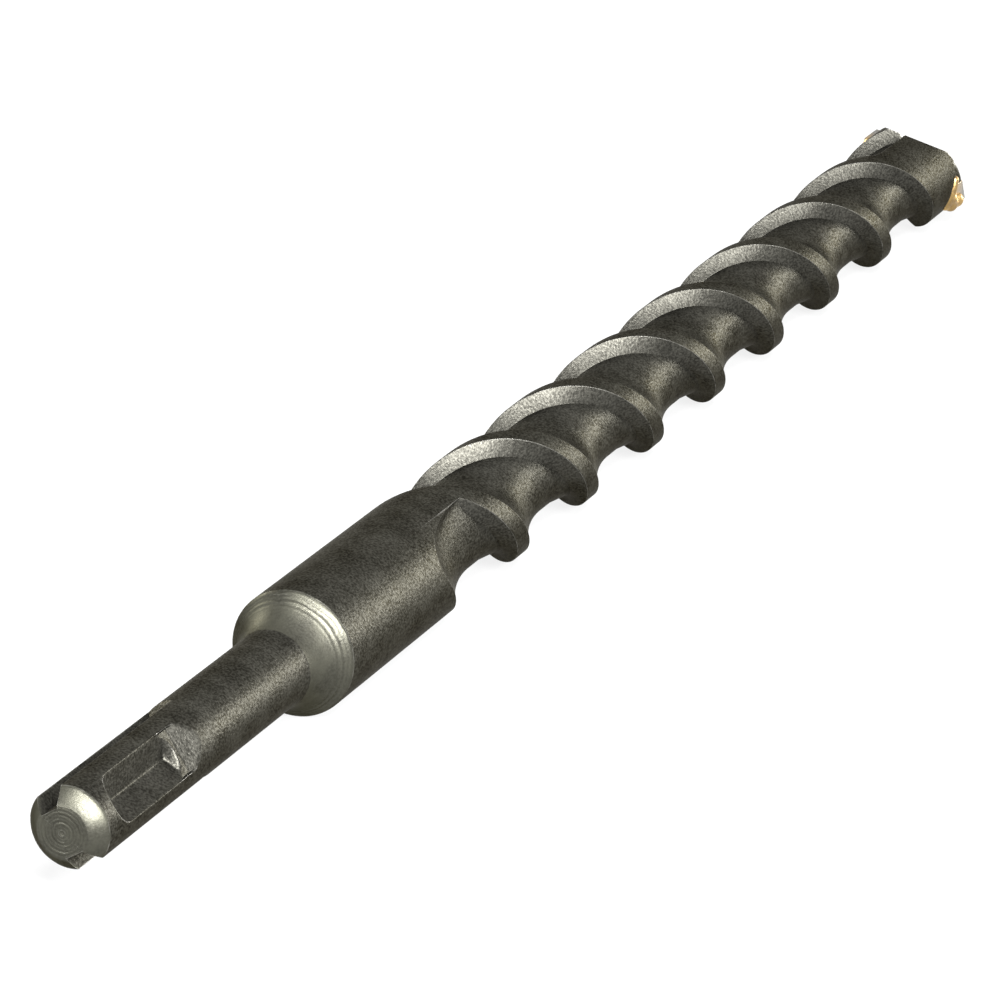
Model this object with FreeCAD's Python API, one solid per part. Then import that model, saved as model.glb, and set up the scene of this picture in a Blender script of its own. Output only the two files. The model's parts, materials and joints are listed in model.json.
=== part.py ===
import FreeCAD, Part
import math
import os

# A hammer drill bit with a grooved 10 mm shank, two right-hand flutes and a carbide tip.
# It is built upright on the Z axis, shank end at zero and tip upwards, then laid on its side.
# Lengths are millimetres and angles are degrees; angles about the axis run from X towards Y.

# Lengths along the axis, from the shank's end face
overall_length = 300.0
end_chamfer_length = 2.0
shank_length = 54.4
shoulder_length = 5.8
flute_start = 101.9

# Radii of the turned blank
shank_radius = 5.0
end_face_radius = 3.1
end_chamfer_belly = 0.12
shoulder_hollow = 0.45
rim_chamfer = 0.25

# Two open driving slots in the shank, milled with a wheel
slot_floor = 2.78
slot_floor_width = 2.6
slot_wall_flare = 14.0
slot_full_depth_length = 23.0
slot_wheel_radius = 12.5
slot_angle = 58.2

# Two closed locking grooves, a quarter turn from the slots
groove_half_width = 3.1
groove_start = 4.3
groove_end = 22.4
groove_floor = 2.2
groove_wall_angle = 60.0
groove_end_wall_angle = 30.0
groove_ramp_end = 25.8
groove_ramp_angle = 25.0

# Helical flutes, measured in a plane through the axis
flute_count = 2
lead = 48.0
land_width = 3.95
core_radius = 5.2
flank_foot_radius = 5.9
flank_lean = 1.2
foot_rise_length = 5.8
floor_flat_length = 3.5
flute_start_angle = 119.7
flute_stop_angle = 100.2
run_out_angle = 57.0
run_out_sections = 8
cutter_clearance = 0.9

# Carbide plate across the head, and how far it stands out of the steel on each side
tip_diameter = 18.0
tip_overhang = 0.9
plate_thickness = 3.6
plate_height = 11.2
plate_heel_radius = 3.5
point_angle = 140.0
cutting_relief_angle = 42.0
side_relief_angle = 15.0
plate_angle = 201.2

# Braze between the plate and the steel, with a bead where the plate comes out
braze_gap = 0.12
bead_reach = 1.3
bead_rise = 0.65
bead_front = 0.3

# Steel around the plate
head_setback = 5.5
roof_lean = 53.0
flat_offset = 4.3
flat_lean = 20.0
flat_turn = -5.6

# How far behind the first slot the blank's seam lies, clear of both slots
seam_lag = 52.5

# Values that follow from the sizes above
body_radius = tip_diameter / 2 - tip_overhang
pitch = lead / flute_count
flute_width = pitch - land_width
flute_depth = body_radius - core_radius
slope_length = flute_width - flank_lean - foot_rise_length - floor_flat_length
point_half_angle = math.radians(point_angle / 2)
steel_front = overall_length - head_setback
plate_heel = overall_length - plate_height
turns_in_reach = (steel_front - flute_start) / lead
part_turn = (flute_stop_angle - flute_start_angle) / 360
flute_turn = 360 * (part_turn + math.floor(turns_in_reach - part_turn))

Z_AXIS = FreeCAD.Vector(0, 0, 1)
ORIGIN = FreeCAD.Vector(0, 0, 0)


def radial_point(radius, height):
    """Gives a point in the plane through the axis and X, at a radius and a height."""
    return FreeCAD.Vector(radius, 0, height)


def bowed_arc(start, end, bow):
    """Gives an arc edge between two points whose middle stands off the chord by bow."""
    chord = end - start
    across = FreeCAD.Vector(chord.z, 0, -chord.x)
    across.normalize()
    middle = (start + end) * 0.5 + across * bow
    return Part.Arc(start, middle, end).toShape()


def turned(shape, angle):
    """Returns a copy of a shape, turned about the bit's axis."""
    copy = shape.copy()
    copy.rotate(ORIGIN, Z_AXIS, angle)
    return copy


def paired(shape, angle):
    """Returns a shape at an angle about the axis, and its twin on the other side."""
    return [turned(shape, angle), turned(shape, angle + 180)]


def turned_blank():
    """Makes the solid of revolution that the grooves and flutes are cut from."""
    end_rim = radial_point(end_face_radius, 0)
    shank_start = radial_point(shank_radius, end_chamfer_length)
    shank_end = radial_point(shank_radius, shank_length)
    shoulder_rim = radial_point(body_radius - rim_chamfer, shank_length + shoulder_length)
    body_start = shoulder_rim + FreeCAD.Vector(rim_chamfer, 0, rim_chamfer)
    body_end = radial_point(body_radius, steel_front)
    front_centre = radial_point(0, steel_front)
    edges = [
        Part.LineSegment(ORIGIN, end_rim).toShape(),
        bowed_arc(end_rim, shank_start, end_chamfer_belly),
        Part.LineSegment(shank_start, shank_end).toShape(),
        bowed_arc(shank_end, shoulder_rim, -shoulder_hollow),
        Part.LineSegment(shoulder_rim, body_start).toShape(),
        Part.LineSegment(body_start, body_end).toShape(),
        Part.LineSegment(body_end, front_centre).toShape(),
        Part.LineSegment(front_centre, ORIGIN).toShape(),
    ]
    blank = Part.Face(Part.Wire(edges)).revolve(ORIGIN, Z_AXIS, 360)
    return turned(blank, slot_angle - seam_lag)


def driving_slot():
    """Makes the cutter of one open slot: a flared run and the wheel's curve that ends it."""
    outer = shank_radius + 1
    flare = math.tan(math.radians(slot_wall_flare))
    low = slot_floor_width / 2
    high = low + (outer - slot_floor) * flare
    end = slot_full_depth_length + slot_wheel_radius
    section = Part.makePolygon([
        FreeCAD.Vector(slot_floor, -low, -1),
        FreeCAD.Vector(slot_floor, low, -1),
        FreeCAD.Vector(outer, high, -1),
        FreeCAD.Vector(outer, -high, -1),
        FreeCAD.Vector(slot_floor, -low, -1),
    ])
    run = Part.Face(section).extrude(FreeCAD.Vector(0, 0, end + 1))
    straight = Part.makeBox(
        outer - slot_floor + 2,
        4 * high,
        slot_full_depth_length + 2,
        FreeCAD.Vector(slot_floor - 1, -2 * high, -2),
    )
    wheel = Part.makeCylinder(
        slot_wheel_radius,
        4 * high,
        FreeCAD.Vector(slot_floor + slot_wheel_radius, -2 * high, slot_full_depth_length),
        FreeCAD.Vector(0, 1, 0),
    )
    return run.common(straight.fuse(wheel))


def locking_groove():
    """Makes the cutter of one closed groove: a V trough with round ends and a ramp beyond."""
    outer = shank_radius + 1
    wall = math.tan(math.radians(groove_wall_angle))
    spread = (outer - groove_floor) * wall
    trough = Part.makePolygon([
        FreeCAD.Vector(groove_floor, 0, 0),
        FreeCAD.Vector(outer, spread, 0),
        FreeCAD.Vector(outer, -spread, 0),
        FreeCAD.Vector(groove_floor, 0, 0),
    ])
    trough = Part.Face(trough).extrude(FreeCAD.Vector(0, 0, groove_ramp_end))

    edge_level = groove_floor + groove_half_width / wall
    draft = math.tan(math.radians(groove_end_wall_angle))
    low = groove_half_width - (edge_level - groove_floor) * draft
    high = groove_half_width + (outer - edge_level) * draft
    first = groove_start + groove_half_width + (shank_radius - edge_level) * draft
    last = groove_end - groove_half_width
    outline = Part.makePolygon([
        FreeCAD.Vector(groove_floor, -low, first),
        FreeCAD.Vector(groove_floor, low, first),
        FreeCAD.Vector(outer, high, first),
        FreeCAD.Vector(outer, -high, first),
        FreeCAD.Vector(groove_floor, -low, first),
    ])
    pocket = Part.Face(outline).extrude(FreeCAD.Vector(0, 0, last - first))
    for height in (first, last):
        end = Part.makeCone(
            low,
            high,
            outer - groove_floor,
            FreeCAD.Vector(groove_floor, 0, height),
            FreeCAD.Vector(1, 0, 0),
        )
        pocket = pocket.fuse(end)
    groove = pocket.common(trough)

    slope = math.tan(math.radians(groove_ramp_angle))
    ledge = groove_ramp_end - (shank_radius - edge_level) / slope
    beyond = groove_ramp_end + (outer - shank_radius) / slope
    ramp = Part.makePolygon([
        FreeCAD.Vector(edge_level, -groove_half_width, last),
        FreeCAD.Vector(edge_level, -groove_half_width, ledge),
        FreeCAD.Vector(outer, -groove_half_width, beyond),
        FreeCAD.Vector(outer, -groove_half_width, last),
        FreeCAD.Vector(edge_level, -groove_half_width, last),
    ])
    ramp = Part.Face(ramp).extrude(FreeCAD.Vector(0, 2 * groove_half_width, 0))
    round_centre = groove_ramp_end - groove_half_width
    bounds = Part.makeBox(
        outer,
        2 * groove_half_width,
        round_centre - last,
        FreeCAD.Vector(0, -groove_half_width, last),
    )
    rounded = Part.makeCylinder(
        groove_half_width,
        outer,
        FreeCAD.Vector(0, 0, round_centre),
        FreeCAD.Vector(1, 0, 0),
    )
    return groove.fuse(ramp.common(bounds.fuse(rounded)))


def flute_section(scale):
    """Makes the flute's outline in the XZ plane, shrunk towards the land edge by scale.

    The land edge next to the steep flank is at the body radius and at height zero, and the
    flute lies below it, on the shank's side.
    """
    flank_slope = flank_lean / (body_radius - flank_foot_radius)
    arc_radius = (slope_length ** 2 + flute_depth ** 2) / (2 * flute_depth)
    arc_angle = math.asin(slope_length / arc_radius)
    foot = (flank_foot_radius, -flank_lean)
    rise = (core_radius, foot[1] - foot_rise_length)
    flat = (core_radius, rise[1] - floor_flat_length)
    far_edge = (body_radius, flat[1] - slope_length)
    middle = (
        core_radius + arc_radius * (1 - math.cos(arc_angle / 2)),
        flat[1] - arc_radius * math.sin(arc_angle / 2),
    )
    flank_top = (body_radius + cutter_clearance, cutter_clearance * flank_slope)
    far_top = (
        body_radius + cutter_clearance,
        far_edge[1] - cutter_clearance / math.tan(arc_angle),
    )

    def placed(point):
        return radial_point(body_radius + (point[0] - body_radius) * scale, point[1] * scale)

    lines = [flank_top, foot, rise, flat]
    edges = [
        Part.LineSegment(placed(a), placed(b)).toShape() for a, b in zip(lines, lines[1:])
    ]
    edges.append(Part.Arc(placed(flat), placed(middle), placed(far_edge)).toShape())
    edges.append(Part.LineSegment(placed(far_edge), placed(far_top)).toShape())
    edges.append(Part.LineSegment(placed(far_top), placed(flank_top)).toShape())
    return Part.Wire(edges)


def screwed(shape, angle):
    """Returns a copy of a shape, turned about the axis and lifted along it by the lead."""
    copy = turned(shape, flute_start_angle + angle)
    copy.translate(FreeCAD.Vector(0, 0, flute_start + lead * angle / 360))
    return copy


def flute_cutter():
    """Makes one flute as a solid: a run-out at the collar and the constant helix to the head."""
    sections = []
    for step in range(1, run_out_sections + 1):
        quarter = math.pi / 2 * step / run_out_sections
        angle = run_out_angle * (1 - math.cos(quarter))
        sections.append(screwed(flute_section(math.sin(quarter)), angle))
    run_out = Part.makeLoft(sections, True, False)

    swept_turn = flute_turn - run_out_angle
    path = Part.makeHelix(lead, lead * swept_turn / 360, body_radius)
    sweep = Part.BRepOffsetAPI.MakePipeShell(Part.Wire(path))
    sweep.setBiNormalMode(Z_AXIS)
    sweep.add(flute_section(1.0), False, False)
    sweep.build()
    sweep.makeSolid()
    return [run_out, screwed(sweep.shape(), run_out_angle)]


def head_facet(offset, lean):
    """Makes the cutter of one sloping facet of the head, on the side of +Y.

    The facet stands off the axis by offset at the steel's front edge and leans towards the
    axis, away from it, by lean.
    """
    slope = math.tan(math.radians(lean))
    reach = 2 * body_radius
    ridge = steel_front + offset / slope
    foot = ridge - reach / slope
    outline = Part.makePolygon([
        FreeCAD.Vector(-reach, 0, ridge),
        FreeCAD.Vector(-reach, reach, foot),
        FreeCAD.Vector(-reach, reach, ridge + reach),
        FreeCAD.Vector(-reach, 0, ridge + reach),
        FreeCAD.Vector(-reach, 0, ridge),
    ])
    return Part.Face(outline).extrude(FreeCAD.Vector(2 * reach, 0, 0))


def head_facets():
    """Makes the cutters of the head's two roof slopes and two steeper side flats."""
    roof = paired(head_facet(0, roof_lean), plate_angle)
    flats = paired(head_facet(flat_offset, flat_lean), plate_angle + flat_turn)
    return roof + flats


def plate_outline(radius, half_thickness, heel_height, heel_radius):
    """Makes a plate across the axis along X, with two rounded corners at its heel."""
    height = overall_length + 1 - heel_height
    plate = Part.makeBox(
        2 * radius,
        2 * half_thickness,
        height,
        FreeCAD.Vector(-radius, -half_thickness, heel_height),
    )
    heel_edges = []
    for edge in plate.Edges:
        middle = edge.CenterOfMass
        if abs(middle.z - heel_height) < 1e-6 and abs(abs(middle.x) - radius) < 1e-6:
            heel_edges.append(edge)
    return plate.makeFillet(heel_radius, heel_edges)


def carbide_tip():
    """Makes the carbide plate with its point, its ground ends and its two cutting edges."""
    tip_radius = tip_diameter / 2
    plate = plate_outline(tip_radius, plate_thickness / 2, plate_heel, plate_heel_radius)
    ends = Part.makeCylinder(tip_radius, overall_length + 2)
    plate = plate.common(ends)

    reach = 2 * tip_radius
    drop = reach / math.tan(point_half_angle)
    relief = math.tan(math.radians(cutting_relief_angle)) * plate_thickness
    back = plate_thickness / 2
    corner = math.sqrt(tip_radius ** 2 - back ** 2)
    side_relief = math.tan(math.radians(side_relief_angle)) * plate_thickness
    clearance = Part.makePolygon([
        FreeCAD.Vector(corner, back, plate_heel - 1),
        FreeCAD.Vector(corner - side_relief, -back, plate_heel - 1),
        FreeCAD.Vector(reach, -back, plate_heel - 1),
        FreeCAD.Vector(reach, back, plate_heel - 1),
        FreeCAD.Vector(corner, back, plate_heel - 1),
    ])
    clearance = Part.Face(clearance).extrude(FreeCAD.Vector(0, 0, plate_height + 2))
    for side in (0, 180):
        plate = plate.cut(turned(clearance, side))
        outline = Part.makePolygon([
            FreeCAD.Vector(0, back, overall_length),
            FreeCAD.Vector(reach, back, overall_length - drop),
            FreeCAD.Vector(reach, back, overall_length + reach),
            FreeCAD.Vector(0, back, overall_length + reach),
            FreeCAD.Vector(0, back, overall_length),
        ])
        trail = outline.copy()
        trail.translate(FreeCAD.Vector(0, -plate_thickness, -relief))
        cutter = Part.makeLoft([outline, trail], True, True)
        plate = plate.cut(turned(cutter, side))
    return turned(plate, plate_angle)


def plate_seat():
    """Makes the slot in the head that the plate is brazed into."""
    seat = plate_outline(
        tip_diameter,
        plate_thickness / 2 + braze_gap,
        plate_heel - braze_gap,
        plate_heel_radius,
    )
    return turned(seat, plate_angle)


def solid_body():
    """Makes the forged and milled steel before the plate's slot is cut across its head."""
    body = turned_blank()
    for cutter in paired(driving_slot(), slot_angle):
        body = body.cut(cutter)
    for cutter in paired(locking_groove(), slot_angle + 90):
        body = body.cut(cutter)
    for cutter in flute_cutter():
        for side in range(flute_count):
            body = body.cut(turned(cutter, 360 / flute_count * side))
    for cutter in head_facets():
        body = body.cut(cutter)
    return body


def bead_section(distance, half_width, foot):
    """Makes a rectangle across the plate's end, at a distance from the axis."""
    return Part.makePolygon([
        FreeCAD.Vector(distance, -half_width, foot),
        FreeCAD.Vector(distance, half_width, foot),
        FreeCAD.Vector(distance, half_width, overall_length),
        FreeCAD.Vector(distance, -half_width, overall_length),
        FreeCAD.Vector(distance, -half_width, foot),
    ])


def braze_bead(body):
    """Makes the bead that rises from the steel to the plate, around one end of the plate."""
    half = plate_thickness / 2
    root = math.sqrt(body_radius ** 2 - (half + bead_reach) ** 2)
    crest = body_radius + bead_rise
    lift = plate_heel_radius - math.sqrt(
        plate_heel_radius ** 2 - (plate_heel_radius - tip_diameter / 2 + body_radius) ** 2
    )
    foot = plate_heel + lift
    bead = Part.makeLoft(
        [bead_section(root, half + bead_reach, foot - bead_reach), bead_section(crest, half, foot)],
        True,
        True,
    )
    bead = bead.cut(turned(body, -plate_angle))
    for cutter in head_facets():
        cutter = turned(cutter, -plate_angle)
        cutter.translate(FreeCAD.Vector(0, 0, bead_front))
        bead = bead.cut(cutter)
    return bead


def braze_seam(body, seat, plate):
    """Makes the braze: a thin film around the plate in its slot, with a bead at both ends."""
    seam = seat.common(body)
    for bead in paired(braze_bead(body), plate_angle):
        seam = seam.fuse(bead)
    return seam.cut(plate).removeSplitter()


def laid(shape):
    """Lays a shape on its side, tip along +X, with its middle over the origin."""
    copy = shape.copy()
    copy.rotate(ORIGIN, FreeCAD.Vector(1, 1, 1), 120)
    copy.translate(FreeCAD.Vector(-overall_length / 2, 0, body_radius))
    return copy


def main():
    os.makedirs("parts", exist_ok=True)
    body = solid_body()
    plate = carbide_tip()
    seat = plate_seat()
    pieces = {
        "steel_body": body.cut(seat),
        "carbide_tip": plate,
        "braze_seam": braze_seam(body, seat, plate),
    }
    for name, shape in pieces.items():
        laid(shape).exportStep("parts/" + name + ".step")


main()
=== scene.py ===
"""A masonry hammer drill bit: grooved shank, collar, two right-hand flutes and a carbide tip.

The bit lies along X with its tip towards +X. Sizes are millimetres and angles are degrees until
they reach Blender, which gets metres and radians. Lengths along the bit count from the shank's
end face, and angles about its axis run from +Y towards +Z.
"""

from __future__ import annotations

import json
import logging
import math
from dataclasses import dataclass, field
from enum import Enum

import bmesh
import bpy
import numpy as np
from bmesh.types import BMEdge, BMesh, BMVert
from bpy.types import Material, Mesh, Node, NodeSocket, NodeTree, Object
from mathutils import Matrix, Vector

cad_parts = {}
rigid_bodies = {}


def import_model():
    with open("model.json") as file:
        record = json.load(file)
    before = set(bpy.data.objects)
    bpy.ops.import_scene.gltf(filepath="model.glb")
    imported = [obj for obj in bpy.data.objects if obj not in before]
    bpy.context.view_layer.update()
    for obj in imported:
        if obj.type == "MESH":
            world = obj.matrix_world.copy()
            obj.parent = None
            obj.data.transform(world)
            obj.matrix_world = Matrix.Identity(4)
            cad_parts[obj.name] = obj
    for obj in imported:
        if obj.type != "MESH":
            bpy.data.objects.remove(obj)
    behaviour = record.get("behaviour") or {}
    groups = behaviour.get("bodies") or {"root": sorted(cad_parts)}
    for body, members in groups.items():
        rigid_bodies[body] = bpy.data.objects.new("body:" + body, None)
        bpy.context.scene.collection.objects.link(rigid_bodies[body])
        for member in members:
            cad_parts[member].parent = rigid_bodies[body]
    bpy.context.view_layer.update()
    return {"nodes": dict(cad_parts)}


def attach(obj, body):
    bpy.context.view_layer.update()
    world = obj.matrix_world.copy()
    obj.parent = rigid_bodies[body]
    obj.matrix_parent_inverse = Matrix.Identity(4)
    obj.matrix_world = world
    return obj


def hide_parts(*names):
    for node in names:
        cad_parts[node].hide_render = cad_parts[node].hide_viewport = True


LOG = logging.getLogger("drill_bit")
MM = 0.001

Color = tuple[float, float, float]
Sockets = bpy.types.bpy_prop_collection
Ring = list[BMVert]

WHITE = (1.0, 1.0, 1.0, 1.0)


class Member(Enum):
    """The bit's solid pieces, by the name of the frame's node that each one dresses."""

    STEEL = "steel_body"
    CARBIDE = "carbide_tip"
    BRAZE = "braze_seam"


class Zone(Enum):
    """What a column of the steel's mesh runs along near the shank's end."""

    PLAIN = "plain"
    SLOT = "slot"
    GROOVE = "groove"


# Small helpers


def around(radius: float, angle: float) -> tuple[float, float]:
    """Gives the across and up parts of a point at a radius and an angle about the axis."""
    turn = math.radians(angle)
    return radius * math.cos(turn), radius * math.sin(turn)


def tangent(angle: float) -> float:
    """Gives the tangent of an angle in degrees."""
    return math.tan(math.radians(angle))


def between(low: float, high: float, share: float) -> float:
    """Gives the value at a share of the way from low to high."""
    return low + (high - low) * share


def soft_min(a: float, b: float, blend: float) -> float:
    """Takes the smaller of two values, with a rounded change between them.

    Args:
        a: The first value.
        b: The second value.
        blend: How far apart the two are where the rounding starts.

    Returns:
        The rounded smaller value.
    """
    share = max(blend - abs(a - b), 0.0) / blend
    return min(a, b) - share * share * blend / 4


def spread(*stretches: tuple[float, float, int]) -> list[float]:
    """Lists evenly spaced values over stretches that follow each other.

    Args:
        stretches: A start, an end and a number of steps for each stretch.

    Returns:
        The values, with every stretch's start and the last one's end.
    """
    values: list[float] = []
    for start, end, steps in stretches:
        values += [start + (end - start) * i / steps for i in range(steps)]
    return values + [stretches[-1][1]]


def placed(name: str, data: bpy.types.ID) -> Object:
    """Makes an object and links it to the scene."""
    made = bpy.data.objects.new(name, data)
    bpy.context.scene.collection.objects.link(made)
    return made


def poured(bm: BMesh, name: str) -> Mesh:
    """Turns a finished edit mesh into a mesh and frees it."""
    mesh = bpy.data.meshes.new(name)
    bm.to_mesh(mesh)
    bm.free()
    return mesh


def dress(mesh: Mesh, finish: Material) -> None:
    """Gives a mesh its one finish and marks its ridges."""
    mesh.materials.clear()
    mesh.materials.append(finish)
    mark_ridges(mesh)


def opened(mesh: Mesh) -> BMesh:
    """Opens a mesh for editing."""
    bm = bmesh.new()
    bm.from_mesh(mesh)
    return bm


def stitch(bm: BMesh, first: Ring, second: Ring) -> None:
    """Joins two closed rings of vertices with a band of faces."""
    for index, vert in enumerate(first):
        follow = (index + 1) % len(first)
        bm.faces.new((vert, first[follow], second[follow], second[index]))


def baked(holder: Object) -> Mesh:
    """Gives an object's mesh with its modifiers worked in."""
    bpy.context.view_layer.update()
    graph = bpy.context.evaluated_depsgraph_get()
    return bpy.data.meshes.new_from_object(holder.evaluated_get(graph))


def mark_ridges(mesh: Mesh) -> None:
    """Smooths a mesh, keeps its sharp edges and writes how worn each vertex is.

    Args:
        mesh: The mesh, which gets the attribute ridge: one on sharp outward edges.
    """
    sharp_bend, wear_start, wear_range = 38, 12, 30
    bm = opened(mesh)
    wear = bm.verts.layers.float.new("ridge")
    for edge in bm.edges:
        if len(edge.link_faces) != 2:
            continue
        bend = math.degrees(edge.calc_face_angle_signed(0.0))
        edge.smooth = abs(bend) < sharp_bend
        worn = min(max((bend - wear_start) / wear_range, 0.0), 1.0)
        for vert in edge.verts:
            vert[wear] = max(vert[wear], worn)
    for face in bm.faces:
        face.smooth = True
    bm.to_mesh(mesh)
    bm.free()


# Shader node helpers


class NodeSheet:
    """Places nodes in a tree, sets their inputs and joins them."""

    def __init__(self, tree: NodeTree) -> None:
        """Keeps the tree that the nodes go into."""
        self.tree = tree
        self.count = 0

    def put(self, kind: str, settings: dict[str, object] | None = None, **inputs: object) -> Node:
        """Adds a node.

        Args:
            kind: The node's type name.
            settings: Properties to set on the node.
            inputs: Input values or sockets, by socket name with spaces as underscores.

        Returns:
            The new node.
        """
        node = self.tree.nodes.new(kind)
        node.location = (200 * (self.count % 9), -260 * (self.count // 9))
        self.count += 1
        for name, value in (settings or {}).items():
            setattr(node, name, value)
        self.fill(node, **inputs)
        return node

    def fill(self, node: Node, **inputs: object) -> None:
        """Sets a node's inputs, by socket name with spaces as underscores."""
        for name, value in inputs.items():
            self.feed(node, name.replace("_", " "), value)

    def feed(self, node: Node, name: str | int, value: object) -> None:
        """Sets one input of a node, from a value or from another node's output."""
        socket = node.inputs[name]
        if isinstance(value, NodeSocket):
            self.tree.links.new(value, socket)
        else:
            socket.default_value = value

    def math(self, operation: str, *values: object, clamp: bool = False) -> NodeSocket:
        """Adds a math node.

        Args:
            operation: The math operation.
            values: Numbers or sockets.
            clamp: Whether the result is kept between zero and one.

        Returns:
            The result's socket.
        """
        node = self.put("ShaderNodeMath", {"operation": operation, "use_clamp": clamp})
        for index, value in enumerate(values):
            self.feed(node, index, value)
        return node.outputs[0]

    def add(self, a: object, b: object) -> NodeSocket:
        """Adds two values."""
        return self.math("ADD", a, b)

    def less(self, a: object, b: object) -> NodeSocket:
        """Takes the second value from the first."""
        return self.math("SUBTRACT", a, b)

    def times(self, a: object, b: object) -> NodeSocket:
        """Multiplies two values."""
        return self.math("MULTIPLY", a, b)

    def mix(self, factor: object, low: object, high: object) -> NodeSocket:
        """Mixes two colours and returns the result's socket."""
        node = self.put("ShaderNodeMix", {"data_type": "RGBA"})
        for index, value in ((0, factor), (6, low), (7, high)):
            self.feed(node, index, value)
        return node.outputs[2]

    def ramp(self, factor: object, low: float, high: float) -> NodeSocket:
        """Stretches a value so that low becomes zero and high becomes one, and clamps it."""
        node = self.put("ShaderNodeMapRange", {"clamp": True})
        for index, value in enumerate((factor, low, high, 0.0, 1.0)):
            self.feed(node, index, value)
        return node.outputs[0]

    def place(self) -> NodeSocket:
        """Reads the place on the object, in metres."""
        return self.put("ShaderNodeTexCoord").outputs["Object"]

    def noise(self, place: NodeSocket, scale: object, detail: float) -> NodeSocket:
        """Adds a noise texture and returns its value's socket."""
        node = self.put("ShaderNodeTexNoise", Vector=place, Scale=scale, Detail=detail)
        return node.outputs["Fac"]

    def mark(self, name: str) -> NodeSocket:
        """Reads a number that the mesh carries."""
        return self.put("ShaderNodeAttribute", {"attribute_name": name}).outputs["Fac"]

    def group(self, tree: NodeTree, **inputs: float) -> Sockets:
        """Adds a node group and returns its outputs."""
        return self.put("ShaderNodeGroup", {"node_tree": tree}, **inputs).outputs


def shader_group(name: str, inputs: dict[str, float],
                 outputs: tuple[str, ...]) -> tuple[NodeSheet, Sockets, Node]:
    """Starts a shader node group with float inputs and outputs.

    Args:
        name: The group's name.
        inputs: Default values by input name.
        outputs: Output names.

    Returns:
        The group's sheet, its inputs' sockets and its output node.
    """
    tree = bpy.data.node_groups.new(name, "ShaderNodeTree")
    for label, value in inputs.items():
        socket = tree.interface.new_socket(label, in_out="INPUT", socket_type="NodeSocketFloat")
        socket.default_value = value
    for label in outputs:
        tree.interface.new_socket(label, in_out="OUTPUT", socket_type="NodeSocketFloat")
    given = tree.nodes.new("NodeGroupInput").outputs
    return NodeSheet(tree), given, tree.nodes.new("NodeGroupOutput")


def grit_group() -> NodeTree:
    """Builds the blasted grain: fine pits, coarse mottling and a height for bump.

    Returns:
        The group, with inputs Grain and Mottle and outputs Pits, Clouds and Height.
    """
    sheet, given, end = shader_group(
        "blasted_grit", {"Grain": 3200.0, "Mottle": 260.0}, ("Pits", "Clouds", "Height")
    )
    place = sheet.place()
    fine = sheet.noise(place, given["Grain"], 3.0)
    broad = sheet.noise(place, given["Mottle"], 4.0)
    cells = sheet.put("ShaderNodeTexVoronoi", Vector=place, Scale=given["Grain"])
    height = sheet.add(fine, sheet.times(cells.outputs["Distance"], 0.6))
    pits, clouds = sheet.ramp(fine, 0.38, 0.64), sheet.ramp(broad, 0.3, 0.7)
    sheet.fill(end, Pits=pits, Clouds=clouds, Height=height)
    return sheet.tree


def edge_group() -> NodeTree:
    """Builds the bright broken line along worn edges, from the mesh's edge attribute.

    Returns:
        The group, with inputs Breakup and Reach and the output Wear.
    """
    sheet, given, end = shader_group("edge_wear", {"Breakup": 900.0, "Reach": 0.5}, ("Wear",))
    ridge = sheet.mark("ridge")
    broken = sheet.noise(sheet.place(), given["Breakup"], 3.0)
    shaken = sheet.times(sheet.less(broken, 0.5), 1.6)
    lifted = sheet.add(ridge, sheet.times(shaken, ridge))
    over = sheet.less(lifted, sheet.less(1.0, given["Reach"]))
    sheet.fill(end, Wear=sheet.math("DIVIDE", over, given["Reach"], clamp=True))
    return sheet.tree


def lathe_group() -> NodeTree:
    """Builds the fine rings that turning leaves on faces square to the axis.

    Returns:
        The group, with inputs Axis Height and Pitch and outputs Rings and Turned.
    """
    sheet, given, end = shader_group(
        "lathe_rings", {"Axis Height": 0.0081, "Pitch": 0.00042}, ("Rings", "Turned")
    )
    place = sheet.place()
    apart = sheet.put("ShaderNodeSeparateXYZ", Vector=place).outputs
    up = sheet.less(apart["Z"], given["Axis Height"])
    radius = sheet.math("SQRT", sheet.add(sheet.times(apart["Y"], apart["Y"]), sheet.times(up, up)))
    waved = sheet.add(sheet.math("DIVIDE", radius, given["Pitch"]), sheet.noise(place, 420.0, 2.0))
    rings = sheet.math("SINE", sheet.times(waved, math.tau))
    sheet.fill(end, Rings=sheet.times(rings, sheet.mark("ringed")), Turned=sheet.mark("turned"))
    return sheet.tree


# Finishes


@dataclass(frozen=True)
class Finish:
    """What every finish has.

    Attributes:
        label: The material's name.
        grit: The grain's node group.
    """

    label: str
    grit: NodeTree


def principled(label: str) -> tuple[Material, NodeSheet, Node]:
    """Makes a material with an empty Principled shader.

    Args:
        label: The material's name.

    Returns:
        The material, its node sheet and the shader node.
    """
    material = bpy.data.materials.new(label)
    material.use_nodes = True
    material.node_tree.nodes.clear()
    sheet = NodeSheet(material.node_tree)
    shader = sheet.put("ShaderNodeBsdfPrincipled")
    sheet.put("ShaderNodeOutputMaterial", Surface=shader.outputs[0])
    return material, sheet, shader


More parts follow.
